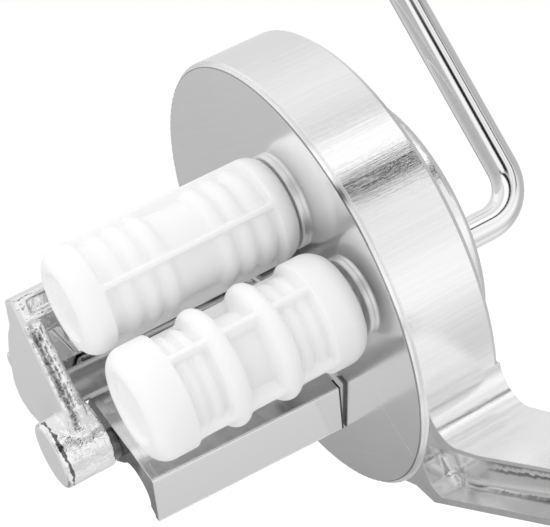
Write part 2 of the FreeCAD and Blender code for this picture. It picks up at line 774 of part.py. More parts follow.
def make_end_bracket():
    """Rail behind the rollers, its sloping roof and hanging web, the end plate and a round boss."""
    made = body("end_bracket")
    rail_low = dims.rail_top - dims.rail_tall
    web_front = dims.rail_back - dims.web_thick
    far = face - dims.rail_length
    lip_y = bench_y - dims.rail_front
    section = outline(sketch(made, "YZ_Plane", face), from_bench([
        (-dims.rail_front, rail_low),
        (dims.rail_flat, rail_low),
        (web_front - dims.gusset_reach, dims.gusset_top),
        (web_front, dims.gusset_foot),
        (web_front, dims.web_bottom),
        (dims.rail_back, dims.web_bottom),
        (dims.rail_back, dims.roof_end_z),
        (dims.roof_fold, dims.roof_fold_z),
        (dims.rail_flat, dims.rail_top),
        (-dims.rail_front, dims.rail_top)]))
    pad(made, section, dims.rail_length, reverse=True)
    ease(made, "Fillet", edges_where(made, lambda e: lies_at(e, far) and all(
        abs(end.Point.y - lip_y.value) < 1e-4 for end in e.Vertexes)), dims.rail_corner)

    hole = sketch(made, "XZ_Plane", -(bench_y + dims.rail_back))
    outline(hole, [
        (far - 1, bench_z + dims.web_bottom - 1), (face - dims.web_end, bench_z + dims.web_bottom - 1),
        (face - dims.web_end - dims.web_lean, bench_z + dims.web_hole_top),
        (far - 1, bench_z + dims.web_hole_top)])
    pocket(made, hole, dims.web_hole_deep, reverse=True)

    recess = sketch(made, "XZ_Plane", -lip_y)
    outline(recess, [
        (far + dims.rail_rim * 2, bench_z + rail_low + dims.rail_rim),
        (face - dims.rail_rim * 2, bench_z + rail_low + dims.rail_rim),
        (face - dims.rail_rim * 2, bench_z + dims.rail_top - dims.rail_rim),
        (far + dims.rail_rim * 2, bench_z + dims.rail_top - dims.rail_rim)])
    pocket(made, recess, dims.rail_recess)

    grid = dims.end_grid
    plate = outline(sketch(made, "YZ_Plane", far), from_bench([
        (-0.4, 14.7), (9.5, 14.7), (15.0, 12.6), (21.9, 8.7), (28.6, 3.0), (30.4, -1.7, -7.0),
        (27.8, -4.8), (22.5, -7.2), (12.1, -12.5), (2.5, -12.5), (-1.7, -3.4)], grid))
    pad(made, plate, dims.end_plate_thick)
    ear = ring(sketch(made, "YZ_Plane", far + 0.6 * grid),
               (bench_y + 26.4 * grid, bench_z + 6.0 * grid), dims.ear_radius)
    pad(made, ear, dims.end_plate_thick - 1.6 * grid)
    groove = sketch(made, "XZ_Plane", -(bench_y - 2 * grid))
    outline(groove, [
        (far + 1.1 * grid, bench_z - 3.5 * grid), (far + 2.1 * grid, bench_z - 3.5 * grid),
        (far + 2.1 * grid, bench_z + 13.1 * grid), (far + 1.1 * grid, bench_z + 13.1 * grid)])
    pocket(made, groove, dims.side_groove + 1 * grid)

    outer = far - dims.end_boss_out
    boss = ring(sketch(made, "YZ_Plane", outer),
                (bench_y + dims.end_boss_y, bench_z - dims.end_boss_drop), dims.end_boss_radius)
    pad(made, boss, dims.end_boss_length)
    ease(made, "Fillet", edges_where(made, lambda e: is_circle(e, dims.end_boss_radius, outer)),
         dims.end_boss_round)

    threads = sketch(made, "YZ_Plane", face)
    for centre in RAIL_SCREWS:
        ring(threads, centre, dims.rail_screw_radius + dims.run_gap)
    pocket(made, threads, dims.rail_screw_deep)
    tapped = ring(sketch(made, "YZ_Plane", boss_inner), chute_screw_at,
                  dims.chute_screw_radius + dims.run_gap)
    pocket(made, tapped, dims.chute_screw_deep)
    return keep("end_bracket", made)


boss_inner = face - dims.rail_length - dims.end_boss_out + dims.end_boss_length
chute_screw_at = (bench_y + dims.chute_screw_y, bench_z - dims.chute_screw_drop)
chute_end = face - dims.chute_length


def make_bracket_screws():
    """Two screws from inside the drum, through the plate into the rail."""
    head_x = face + dims.plate_proud + dims.plate_spigot
    parts = []
    for index, (y, z) in enumerate(RAIL_SCREWS):
        parts.append(cylinder(f"rail_shank_{index}", dims.rail_screw_radius,
                              dims.rail_screw_deep - 0.5 + head_x - face,
                              face - dims.rail_screw_deep + 0.5, y, z))
        parts.append(cylinder(f"rail_head_{index}", dims.screw_head, dims.rail_head_tall,
                              head_x, y, z))
    return keep("bracket_screws", boolean("MultiFuse", "bracket_screws", parts[0], parts[1:]))


# ---------------------------------------------------------------- chute
def chute_corners(lift):
    """The sheet's front corners from its upright back edge down to the lip."""
    back_y = dims.rail_back + dims.chute_back_gap
    return [(back_y, dims.chute_back_top + lift), (back_y, dims.chute_back_z + lift),
            (dims.crest_y, dims.crest_z + lift), (dims.fold_y, dims.fold_z + lift),
            (dims.shelf_y, dims.shelf_z + lift), (dims.lip_y, dims.lip_z + lift)]


def chute_section(lift, upper_only=False):
    """The bent sheet's outline, with its thickness behind each corner."""
    corners = chute_corners(lift)
    behind = [(1, 0), (1, -0.683), (0.886, -0.728), (0.927, -0.5), (1.424, -0.03), (0.72, 0.7)]
    if upper_only:
        corners = corners[:3]
        behind = behind[:3]
    back_side = [(corner[0] + dims.chute_sheet * shift[0], corner[1] + dims.chute_sheet * shift[1])
                 for corner, shift in zip(corners, behind)]
    return from_bench(corners + back_side[::-1])


def make_chute():
    """The sheet runs slightly downhill to the drum; its free end has a flange for one screw."""
    made = body("chute")
    high = dims.chute_rise / 2
    free = outline(sketch(made, "YZ_Plane", chute_end), chute_section(high))
    near = outline(sketch(made, "YZ_Plane", face - dims.chute_gap), chute_section(-high))
    sheet_part = made.newObject("PartDesign::AdditiveLoft", "Sheet")
    sheet_part.Profile = free
    sheet_part.Sections = [near]
    sheet_part.Ruled = True
    doc.recompute()
    back_strip = outline(sketch(made, "YZ_Plane", chute_end), chute_section(high, upper_only=True))
    pad(made, back_strip, dims.chute_back_past, reverse=True)
    drum_end = face - dims.chute_gap
    slant = outline(sketch(made, "XZ_Plane", -(bench_y + dims.shelf_y - 2 * dims.chute_sheet)), [
        (drum_end, bench_z + dims.lip_z), (drum_end - dims.chute_widen, bench_z + dims.shelf_z),
        (drum_end - dims.chute_widen, bench_z + dims.rail_top), (face, bench_z + dims.rail_top),
        (face, bench_z + dims.lip_z)])
    pocket(made, slant, dims.rail_back - dims.shelf_y + dims.chute_back_gap + 4 * dims.chute_sheet)

    grid = dims.chute_grid
    screw_y = dims.chute_screw_y
    screw_z = -dims.chute_screw_drop
    low = (dims.lip_y + 0.6 * grid, dims.lip_z + 3.8 * grid)
    waist = (screw_y - 5.2 * grid, screw_z - 6.5 * grid)
    neck = (screw_y, screw_z - 4.5 * grid)
    toe = (screw_y + 5.8 * grid, screw_z - 4.5 * grid)
    heel = (screw_y + 8 * grid, screw_z - 0.7 * grid)
    flange = outline(sketch(made, "YZ_Plane", chute_end), from_bench([
        (dims.fold_y, dims.fold_z + high), (dims.shelf_y, dims.shelf_z + high),
        (dims.lip_y, dims.lip_z + high), low, waist + (reach(low, waist) * -0.667,),
        neck + (reach(waist, neck) * -0.826,), toe, heel + (reach(toe, heel) * 0.911,),
        (screw_y + 7.6 * grid, screw_z + 7.6 * grid)]))
    pad(made, flange, dims.chute_flange)
    hole = ring(sketch(made, "YZ_Plane", chute_end), chute_screw_at,
                dims.chute_screw_radius + dims.run_gap)
    pocket(made, hole, dims.chute_flange, reverse=True)
    return keep("chute", made)


def make_chute_fixing():
    y, z = chute_screw_at
    keep("chute_spacer", washer("chute_spacer", dims.spacer_radius,
                                dims.chute_screw_radius + dims.run_gap,
                                chute_end - boss_inner, boss_inner, y, z))
    shank = cylinder("chute_shank", dims.chute_screw_radius,
                     chute_end + dims.chute_flange - boss_inner + dims.chute_screw_deep - 0.5,
                     boss_inner - dims.chute_screw_deep + 0.5, y, z)
    head = cylinder("chute_head", dims.chute_screw_radius + 1, 1.6,
                    chute_end + dims.chute_flange, y, z)
    keep("chute_screw", boolean("MultiFuse", "chute_screw", shank, [head]))


# ---------------------------------------------------------------- crank
def make_crank_rod():
    """One rod with two bends: its tail in the shaft, its leg, and the spindle for the grip."""
    made = body("crank_rod")
    bend = dims.rod_bend
    throw = dims.crank_throw
    tail = hub_end - dims.socket_depth
    tip = grip_end + dims.grip_gap + dims.grip_washer_thick + dims.end_nut_long - dims.nut_skin
    way = outline(sketch(made, "XZ_Plane"), [
        (tail, 0), (leg_x - bend, 0), (leg_x, bend, bend), (leg_x, throw - bend),
        (leg_x + bend, throw, -bend), (tip, throw)], closed=False)
    ring_profile = ring(sketch(made, "YZ_Plane", tail), (0, 0), dims.rod_radius)
    rod = made.newObject("PartDesign::AdditivePipe", "Rod")
    rod.Profile = ring_profile
    rod.Spine = way
    doc.recompute()
    place(made, 0, lower_y, lower_z, Vector(-1, 0, 0), dims.crank_lean)
    return keep("crank_rod", made)


def make_crank_fixing():
    bore = dims.rod_radius + 0.02
    keep("grip_washer", washer("grip_washer", dims.grip_washer_radius, bore,
                               dims.grip_washer_thick, leg_x + dims.rod_bend, grip_y, grip_z))
    keep("end_washer", washer("end_washer", dims.grip_washer_radius, bore,
                              dims.grip_washer_thick, grip_end + dims.grip_gap, grip_y, grip_z))
    nut_x = grip_end + dims.grip_gap + dims.grip_washer_thick
    long = dims.end_nut_long
    radius = dims.end_nut_radius
    keep("end_nut", turned("end_nut", [
        (0, bore), (long - dims.nut_skin + 0.02, bore), (long - dims.nut_skin + 0.02, 0), (long, 0),
        (long - 2.4 * dims.grip_grid, radius, radius * 1.04), (0, radius)], nut_x, grip_y, grip_z))


def make_grip():
    """Turned handle, slim behind its collar and full towards the end."""
    grid = dims.grip_grid
    radius = dims.grip_radius
    bore = dims.rod_radius + dims.run_gap
    long = dims.grip_length
    keep("grip", turned("grip", [
        (0, bore), (long, bore), (long, radius * 0.62), (long - 5 * grid, radius * 0.94, 8.5 * grid),
        (long * 0.55, radius, 60 * grid), (long * 0.2, radius * 0.78, 60 * grid),
        (3 * grid, radius * 0.7, -30 * grid), (0, radius * 0.6, 4 * grid)],
        grip_start, grip_y, grip_z))


# ---------------------------------------------------------------- clamp screw
def make_clamp():
    pad_top = -dims.pad_gap
    tip = dims.tip_radius
    neck = dims.neck_radius
    gap = dims.tip_gap
    foot = body("clamp_pad")
    revolve(foot, outline(sketch(foot, "XZ_Plane"), [
        (0, 0), (dims.pad_radius, 0), (dims.pad_radius, -dims.pad_rim),
        (dims.pad_neck_radius, -dims.pad_neck_top), (dims.pad_neck_radius, -dims.pad_tall),
        (neck + gap, -dims.pad_tall), (neck + gap, -dims.tip_end), (tip + gap, -dims.tip_end),
        (tip + gap, -dims.tip_start), (0, -dims.tip_start)]),
        "V_Axis")
    place(foot, 0, 0, pad_top)
    keep("clamp_pad", foot)

    radius = dims.screw_radius
    head = dims.screw_head_radius
    low = -dims.screw_length - dims.screw_head_tall
    edge = dims.tommy_cap_skin
    screw = body("clamp_screw")
    revolve(screw, outline(sketch(screw, "XZ_Plane"), [
        (0, -dims.tip_start - gap), (tip, -dims.tip_start - gap), (tip, -dims.tip_end + gap),
        (neck, -dims.tip_end + gap), (neck, -dims.neck_end),
        (radius - dims.thread_start, -dims.neck_end),
        (radius, -dims.neck_end - dims.thread_start), (radius, -dims.screw_length),
        (head - edge, -dims.screw_length), (head, -dims.screw_length - edge), (head, low + edge),
        (head - edge, low), (0, low)]), "V_Axis")
    cross = ring(sketch(screw, "YZ_Plane", -head),
                 (0, -dims.screw_length - dims.screw_head_tall / 2),
                 dims.tommy_radius + dims.run_gap)
    pocket(screw, cross, head * 2, reverse=True)
    place(screw, 0, 0, pad_top)
    keep("clamp_screw", screw)

    bar_z = pad_top - dims.screw_length - dims.screw_head_tall / 2
    half = dims.tommy_length / 2
    bar = cylinder("tommy_bar", dims.tommy_radius, dims.tommy_length, -half, 0, bar_z)
    bar.Label = "tommy_bar"
    keep("tommy_bar", bar)
    caps = []
    for side, start in (("left", -half - edge), ("right", half - dims.tommy_cap_long + edge)):
        knob = cylinder(f"cap_{side}", dims.tommy_cap_radius, dims.tommy_cap_long, start, 0, bar_z)
        bore = cylinder(f"cap_bore_{side}", dims.tommy_radius + 0.02, dims.tommy_length + 0.02,
                        -half - 0.01, 0, bar_z)
        caps.append(boolean("Cut", f"cap_solid_{side}", knob, bore))
    keep("tommy_caps", boolean("MultiFuse", "tommy_caps", caps[0], caps[1:]))


# ---------------------------------------------------------------- build, check and write
make_housing()
make_face_plate()
make_bushes()
make_shaft("lower", hub_end, dims.lower_phase, socket=True)
make_shaft("upper", boss_back - dims.blind_skin - 0.3, dims.upper_phase)
make_keys()
make_gear("lower", dims.pair_angle.value)
make_gear("upper", dims.pair_angle.value + 180 + 180 / dims.gear_teeth.value)
make_rings()
make_upper_roller()
make_lower_roller()
make_end_bracket()
make_bracket_screws()
make_chute()
make_chute_fixing()
make_crank_rod()
make_crank_fixing()
make_grip()
make_clamp()
doc.recompute()

for item in doc.Objects:
    if "Invalid" in item.State or "Error" in item.State:
        raise RuntimeError(f"{item.Label}: {item.State}")
for label, item in nodes.items():
    if item.Shape.isNull() or not item.Shape.isValid() or not item.Shape.Solids:
        raise RuntimeError(f"{label}: no valid solid")
os.makedirs("parts", exist_ok=True)
for label, item in nodes.items():
    item.Shape.exportStep(f"parts/{label}.step")
print(len(nodes), "nodes written")
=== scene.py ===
import bmesh
import bpy
import math
from mathutils import Matrix, Vector


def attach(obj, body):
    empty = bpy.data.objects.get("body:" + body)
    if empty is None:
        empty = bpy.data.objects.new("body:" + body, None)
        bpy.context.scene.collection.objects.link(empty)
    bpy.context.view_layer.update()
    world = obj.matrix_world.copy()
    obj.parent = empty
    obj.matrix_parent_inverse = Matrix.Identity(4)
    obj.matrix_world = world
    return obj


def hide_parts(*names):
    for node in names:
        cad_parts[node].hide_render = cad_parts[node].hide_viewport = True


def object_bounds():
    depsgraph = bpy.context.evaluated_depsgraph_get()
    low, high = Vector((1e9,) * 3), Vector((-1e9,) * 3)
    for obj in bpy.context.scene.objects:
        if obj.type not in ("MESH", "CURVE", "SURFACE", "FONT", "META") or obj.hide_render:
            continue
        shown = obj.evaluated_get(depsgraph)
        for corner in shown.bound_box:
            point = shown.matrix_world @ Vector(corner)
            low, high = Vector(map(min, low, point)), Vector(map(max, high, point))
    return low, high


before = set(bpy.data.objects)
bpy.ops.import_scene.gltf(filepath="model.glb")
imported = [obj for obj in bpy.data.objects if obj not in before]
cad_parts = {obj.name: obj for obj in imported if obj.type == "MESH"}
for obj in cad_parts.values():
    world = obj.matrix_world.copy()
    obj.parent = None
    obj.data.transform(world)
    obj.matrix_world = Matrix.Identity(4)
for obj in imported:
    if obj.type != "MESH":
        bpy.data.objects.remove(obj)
cad_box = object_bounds()

# ---------------------------------------------------------------- sizes of the solids, in mm
DRUM_Y, DRUM_Z = 131.0, 46.4            # the drum's axis runs along X
DRUM_RADIUS, PLATE_RADIUS = 44.0, 43.3
DRUM_FRONT_X, PLATE_FACE_X = -7.95, -9.05
BOSS_Y, BOSS_Z = 137.7, 35.9            # the axis of the end bracket's round boss, along X
END_PLATE_X = -59.05                    # the end bracket's far face
CHUTE_END_X = -50.25
WEB_GROOVE_X = -57.4                    # a groove down the end bracket's web
SCREW_TRAVEL_DOWN = 19.0                # how far the clamp screw sinks from its rest


def mm(*values):
    return Vector(values) / 1000


def by_drum(x, y, z):
    """A point whose Y and Z are measured from the drum's axis, in mm."""
    return mm(x, DRUM_Y + y, DRUM_Z + z)


# ---------------------------------------------------------------- camera, solved from the photo
PHOTO_WIDTH, FOCAL_LENGTH = 550, 1849.8     # pixels
SENSOR_WIDTH = 36
CAMERA_AT = (-126.25, -196.3, 93.1)
CAMERA_RIGHT = (0.8411, -0.3528, -0.4100)
CAMERA_UP = (0.4268, -0.0326, 0.9038)

scene = bpy.context.scene
scene.view_settings.view_transform = "Standard"

camera_data = bpy.data.cameras.new("camera")
camera_data.sensor_width = SENSOR_WIDTH
camera_data.lens = FOCAL_LENGTH * SENSOR_WIDTH / PHOTO_WIDTH
camera_data.clip_start = 0.01
camera_data.clip_end = 20
camera = bpy.data.objects.new("camera", camera_data)
scene.collection.objects.link(camera)
right = Vector(CAMERA_RIGHT).normalized()
up = Vector(CAMERA_UP)
up = (up - up.dot(right) * right).normalized()
turn = Matrix((right, up, right.cross(up))).transposed().to_4x4()
camera.matrix_world = Matrix.Translation(mm(*CAMERA_AT)) @ turn
scene.camera = camera


# ---------------------------------------------------------------- node helpers
class Tree:
    """A short way to write a node tree."""

    def __init__(self, owner):
        owner.use_nodes = True
        self.tree = owner.node_tree

    def put(self, socket, value):
        """Links a socket to another one, or sets its value."""
        if isinstance(value, bpy.types.NodeSocket):
            self.tree.links.new(value, socket)
        else:
            socket.default_value = value

    def node(self, kind, inputs=None, **settings):
        made = self.tree.nodes.new(f"ShaderNode{kind}")
        for key, value in settings.items():
            setattr(made, key, value)
        for key, value in (inputs or {}).items():
            self.put(made.inputs[key], value)
        return made

    def maths(self, operation, a, b=0.0):
        return self.node("Math", {0: a, 1: b}, operation=operation).outputs[0]

    def plus(self, a, b):
        return self.maths("ADD", a, b)

    def times(self, first, *others):
        for factor in others:
            first = self.maths("MULTIPLY", first, factor)
        return first

    def inverse(self, share):
        return self.maths("SUBTRACT", 1.0, share)

    def span(self, value, low, high, to_low=0.0, to_high=1.0, curve="LINEAR"):
        """Maps one range onto another and holds it there."""
        return self.node("MapRange", {"Value": value, "From Min": low, "From Max": high,
                                      "To Min": to_low, "To Max": to_high},
                         interpolation_type=curve).outputs[0]

    def mix(self, share, a, b):
        return self.node("Mix", {0: share, 2: a, 3: b}, data_type="FLOAT").outputs[0]


class Nodes(Tree):
    """A material's node tree. Its methods take and give lengths in mm."""

    def __init__(self, name):
        self.material = bpy.data.materials.new(name)
        super().__init__(self.material)
        self.shader = self.tree.nodes["Principled BSDF"]
        self.out = self.tree.nodes["Material Output"]
        self.place = self.node("TexCoord").outputs["Object"]

    def set(self, **values):
        for key, value in values.items():
            self.put(self.shader.inputs[key.replace("_", " ")], value)

    def stretched(self, scale):
        return self.node("Mapping", {"Vector": self.place, "Scale": scale}).outputs[0]

    def noise(self, scale, detail=3.0, rough=0.55, at=None):
        return self.node("TexNoise", {"Vector": at or self.place, "Scale": scale, "Detail": detail,
                                      "Roughness": rough}).outputs["Fac"]

    def spread(self, noise, to_low, to_high, middle=(0.3, 0.7)):
        """Maps the middle of a noise, where most of it lies, onto a range."""
        return self.span(noise, *middle, to_low, to_high)

    def ramp(self, value, stops):
        made = self.node("ValToRGB", {"Fac": value})
        steps = made.color_ramp.elements
        while len(steps) < len(stops):
            steps.new(0.5)
        for step, (position, colour) in zip(steps, stops):
            step.position = position
            step.color = grey(colour) if isinstance(colour, float) else (*colour, 1)
        return made.outputs[0]

    def blend(self, share, a, b, way="MIX"):
        """Mixes two colours."""
        return self.node("Mix", {0: share, 6: a, 7: b}, data_type="RGBA",
                         blend_type=way).outputs[2]

    def bump(self, height, strength, depth, under=None):
        if isinstance(depth, bpy.types.NodeSocket):
            distance = self.times(depth, 0.001)
        else:
            distance = depth / 1000
        inputs = {"Height": height, "Strength": strength, "Distance": distance}
        if under is not None:
            inputs["Normal"] = under
        return self.node("Bump", inputs).outputs[0]

    def soft_edge(self, radius):
        return self.node("Bevel", {"Radius": radius / 1000}, samples=4).outputs[0]

    def below(self, value, limit):
        return self.maths("LESS_THAN", value, limit)

    def above(self, value, limit):
        return self.maths("GREATER_THAN", value, limit)

    def along(self, axis):
        """Where the surface lies along an axis of the frame."""
        return self.times(self.node("SeparateXYZ", {0: self.place}).outputs[axis], 1000.0)

    def facing(self, axis):
        """How far the surface faces along an axis, from -1 to 1."""
        normal = self.node("TexCoord").outputs["Normal"]
        return self.node("SeparateXYZ", {0: normal}).outputs[axis]

    def sideways(self):
        """How far the surface faces to either side, along X."""
        return self.maths("ABSOLUTE", self.facing("X"))

    def across(self, z=None):
        """The surface's Y and Z, or its Y and a height of its own."""
        z = self.along("Z") if z is None else z
        return self.node("CombineXYZ", {"Y": self.along("Y"), "Z": z}).outputs[0]

    def distance(self, point, y, z):
        """The distance between a point from across() and a line along X."""
        return self.node("VectorMath", {0: point, 1: (0, y, z)}, operation="DISTANCE").outputs[1]

    def from_drum(self):
        """The distance from the drum's axis."""
        return self.distance(self.across(), DRUM_Y, DRUM_Z)

    def scratch(self):
        """A jagged line across the plate, as a share of roughness."""
        start, end = (114.5, 25.5), (109.0, 10.5)       # Y and Z
        half_width, jag, strength = 0.07, 0.3, 0.6
        length = math.dist(start, end)
        ahead_y, ahead_z = (end[0] - start[0]) / length, (end[1] - start[1]) / length
        shift = self.node("VectorMath", {0: self.across(), 1: (0, *start)},
                          operation="SUBTRACT").outputs[0]
        run, off = (
            self.node("VectorMath", {0: shift, 1: way}, operation="DOT_PRODUCT").outputs[1]
            for way in ((0, ahead_y, ahead_z), (0, -ahead_z, ahead_y)))
        off = self.maths("ABSOLUTE", self.plus(off, self.spread(self.noise(500.0), -jag, jag)))
        return self.times(self.below(off, half_width), self.above(run, 0.0),
                          self.below(run, length), strength)


def grey(value):
    return (value, value, value, 1)


# ---------------------------------------------------------------- materials
def make_casting():
    """Polished casting: streaks on the rim, a smooth back, painted shade in bands in the pocket, a
    pale plate seat, a painted highlight on top of the arm.
    """
    m = Nodes("polished_casting")
    streak = m.noise(1300.0, detail=6.0, rough=0.75, at=m.stretched((0.05, 1, 1)))
    wave = m.noise(75.0, detail=2.0, rough=0.5, at=m.stretched((0.3, 1, 1)))
    back = m.span(m.facing("X"), 0.15, 0.4)

    # painted shade in the pocket, in darker and lighter bands that are painted reflections on its
    # walls
    pocket_front_x, pocket_height = -7.5, 12.0
    pocket = m.span(m.facing("X"), -0.15, -0.5, 0.0, m.above(m.along("X"), pocket_front_x))
    jagged = m.spread(m.noise(400.0, detail=4.0, rough=0.7), -0.4, 0.4)
    height = m.plus(m.along("Z"), jagged)
    bands = m.ramp(m.span(height, 0.0, pocket_height), [
        (0.0, 0.45), (0.125, 0.35), (0.16, 0.85), (0.40, 0.72), (0.42, 0.25), (0.45, 0.25),
        (0.47, 1.0), (0.51, 1.0), (0.54, 0.5), (1.0, 0.4)])
    bands = m.mix(m.span(m.along("Y"), 90.0, 96.0), bands, 0.75)
    shade = m.inverse(m.times(pocket, m.inverse(bands)))

    seat = m.times(m.below(m.along("X"), DRUM_FRONT_X + 0.12),
                   m.below(m.from_drum(), DRUM_RADIUS + 0.03))
    # a painted highlight on top of the arm: less metal there lets the pale base colour show
    arm_top_highlight = m.times(m.span(m.along("Y"), 50.0, 70.0),
                      m.span(m.from_drum(), DRUM_RADIUS + 1.5, DRUM_RADIUS + 5.5),
                      m.span(m.sideways(), 0.3, 0.1))
    pale = m.maths("MAXIMUM", m.times(seat, 0.5), m.times(arm_top_highlight, 0.45))

    rough = m.plus(m.spread(streak, 0.06, 0.12), m.times(pocket, 0.05))
    tone = m.ramp(streak, [(0.3, 0.88), (0.7, 0.95)])
    m.set(Metallic=m.inverse(pale), Base_Color=m.blend(1.0, tone, shade, "MULTIPLY"),
          Roughness=m.span(back, 0.0, 1.0, rough, 0.36))
    soft = m.bump(wave, 1.0, m.span(back, 0.0, 1.0, 0.12, 0.02), m.soft_edge(0.12))
    m.set(Normal=m.bump(streak, 1.0, m.span(m.sideways(), 0.1, 0.6, 0.035, 0.006), soft))
    return m.material


def make_mirror():
    """Mirror polished plate with fine scratches and a line of painted shade round its edge."""
    m = Nodes("mirror_plate")
    fine = m.noise(1500.0, detail=3.0, rough=0.7, at=m.stretched((1, 0.06, 0.9)))
    cloud = m.noise(40.0, detail=2.0, rough=0.5)
    # painted shade in the seam round the plate's edge
    edge = m.times(m.below(m.along("X"), PLATE_FACE_X + 0.25),
                   m.above(m.from_drum(), PLATE_RADIUS - 0.22))
    tone = m.maths("SUBTRACT", m.spread(fine, 0.92, 0.96, middle=(0.25, 0.75)),
                   m.times(edge, 0.6))
    m.set(Metallic=1.0, Base_Color=m.ramp(tone, [(0.0, 0.0), (1.0, 1.0)]),
          Roughness=m.plus(m.spread(cloud, 0.13, 0.19), m.scratch()))
    m.set(Normal=m.bump(fine, 0.1, 0.02, m.soft_edge(0.1)))
    return m.material


def make_metal(name, colour, rough, ripple=700.0, depth=0.05):
    """Bare or plated metal that ripples a little."""
    m = Nodes(name)
    uneven = m.noise(ripple, detail=2.0, rough=0.5)
    m.set(Metallic=1.0, Roughness=rough, Base_Color=m.ramp(uneven, [
        (0.3, colour), (0.7, tuple(0.97 * part for part in colour))]))
    m.set(Normal=m.bump(uneven, 0.5, depth, m.soft_edge(0.3)))
    return m.material


def make_cast_chrome():
    """Plated rough casting: orange peel on its edges, flat sides ground smooth and made pale with
    less metal as a painted sheen, painted shade round the boss and in the web's groove.
    """
    m = Nodes("cast_chrome")
    # the flat sides take less metal, so their pale base colour shows: a painted sheen
    flat = m.span(m.sideways(), 0.80, 0.97)
    ripple = m.noise(900.0, detail=3.0, rough=0.6)
    broad = m.noise(260.0, detail=2.0, rough=0.5)
    wander = m.spread(m.noise(700.0, detail=4.0, rough=0.7), -0.6, 0.6)

    # a ragged dark line round the boss is painted shade
    boss_line_x, boss_top_z = -61.9, 42.5
    off_line = m.plus(m.times(wander, 0.5), m.plus(m.along("X"), -boss_line_x))
    half_width = m.spread(m.noise(300.0), 0.02, 0.45, middle=(0.35, 0.65))
    boss_shade_line = m.times(m.below(m.along("Z"), boss_top_z),
                        m.below(m.maths("ABSOLUTE", off_line), half_width))

    # the groove is pressed into the mesh; its dark, speckled colour is painted shade
    web_low, web_high = 39.5, 58.8
    off_groove = m.plus(m.plus(m.along("X"), wander), 0.2 - WEB_GROOVE_X)
    speckle = m.spread(m.noise(1600.0, detail=3.0, rough=0.6), 0.45, 1.0, middle=(0.35, 0.6))
    groove = m.times(m.above(m.along("Z"), web_low), m.below(m.along("Z"), web_high),
                     m.span(m.maths("ABSOLUTE", off_groove), 0.1, 0.9, 1.0, 0.0),
                     speckle, m.span(m.facing("Y"), -0.2, -0.6))

    m.set(Metallic=m.span(flat, 0.0, 1.0, 1.0, 0.6),
          Base_Color=m.ramp(m.maths("MAXIMUM", boss_shade_line, groove), [(0.0, 0.92), (1.0, 0.16)]),
          Roughness=m.span(flat, 0.0, 1.0, 0.07, 0.34))
    soft = m.bump(broad, 1.0, m.span(flat, 0.0, 1.0, 0.7, 0.02))
    m.set(Normal=m.bump(ripple, 1.0, m.span(flat, 0.0, 1.0, 0.22, 0.004), soft))
    return m.material


def make_sheet():
    """Polished sheet: painted shade above its fold, painted highlights on its folds, painted shade
    at both ends.
    """
    m = Nodes("polished_sheet")
    fine = m.noise(900.0, detail=3.0, rough=0.6, at=m.stretched((0.05, 1, 1)))
    # painted shade by height: darkest on the riser above the fold, brightest on the shelf
    tone = m.ramp(m.span(m.along("Z"), 12.0, 52.0), [
        (0.0, 0.74), (0.3, 0.78), (0.36, 0.97), (0.60, 0.97), (0.685, 0.72), (0.72, 0.32),
        (0.88, 0.36), (0.90, 0.85)])

    fold_rise = 0.65                    # either way, over the length of the chute
    level = m.plus(m.along("Z"), m.span(m.along("X"), CHUTE_END_X, -9.3, -fold_rise, fold_rise))
    # painted highlights along the folds: less metal and a near-white colour there
    fold_highlight = 0.0
    for y, z, width in ((14.5, 0.7, 0.8), (13.4, -5.5, 0.7), (-4.0, -21.95, 0.6),
                        (5.0, -31.2, 0.4)):
        away = m.distance(m.across(level), DRUM_Y + y, DRUM_Z + z)
        fold_highlight = m.maths("MAXIMUM", fold_highlight, m.span(away, width / 2, width, 1.0, 0.0))

    # painted shade on the flange's face beside the boss, speckled
    by_boss = m.distance(m.across(), BOSS_Y, BOSS_Z)
    flange_shade = m.times(m.span(m.facing("X"), -0.6, -0.9), m.span(by_boss, 9.5, 11.5, 1.0, 0.0),
                     m.spread(fine, 0.75, 1.0, middle=(0.35, 0.65)))
    tone = m.blend(flange_shade, tone, grey(0.12))

    gap_x, gap_top_z = -9.7, 25.5       # the shadow between the chute and the plate
    slope = m.plus(m.along("X"), m.span(m.along("Z"), 15.2, 24.45, 0.0, 0.5))
    gap = m.times(m.above(slope, gap_x), m.below(m.along("Z"), gap_top_z))
    tone = m.blend(gap, tone, grey(0.08))
    fold_highlight = m.times(fold_highlight, m.inverse(gap))

    m.set(Metallic=m.span(fold_highlight, 0.0, 1.0, 1.0, 0.3), Roughness=m.spread(fine, 0.07, 0.12),
          Base_Color=m.blend(fold_highlight, tone, grey(0.96)))
    m.set(Normal=m.bump(fine, 0.3, 0.02, m.soft_edge(0.4)))
    return m.material


def make_plastic():
    """White moulded plastic that lets some light through."""
    m = Nodes("white_plastic")
    cloud = m.noise(90.0, detail=3.0, rough=0.5)
    m.set(Base_Color=m.ramp(cloud, [(0.3, 0.94), (0.7, 0.96)]),
          Roughness=m.spread(m.noise(400.0), 0.30, 0.40), Subsurface_Weight=0.7,
          Subsurface_Scale=0.005, Subsurface_Radius=(1.0, 1.0, 1.0), Specular_IOR_Level=0.4)
    m.set(Normal=m.bump(m.noise(260.0, detail=2.0, rough=0.5), 0.15, 0.2))
    return m.material


def make_wood():
    """Oiled wood with its grain along X."""
    m = Nodes("turned_wood")
    grain = m.noise(160.0, detail=5.0, rough=0.6, at=m.stretched((0.08, 1, 1)))
    rings = m.noise(45.0, detail=2.0, rough=0.4, at=m.stretched((0.2, 1, 1)))
    m.set(Base_Color=m.ramp(m.times(grain, rings), [
        (0.12, (0.20, 0.085, 0.03)), (0.24, (0.40, 0.20, 0.08)), (0.4, (0.52, 0.29, 0.13))]),
          Roughness=0.42, Coat_Weight=0.25, Coat_Roughness=0.2)
    m.set(Normal=m.bump(grain, 0.3, 0.1))
    return m.material


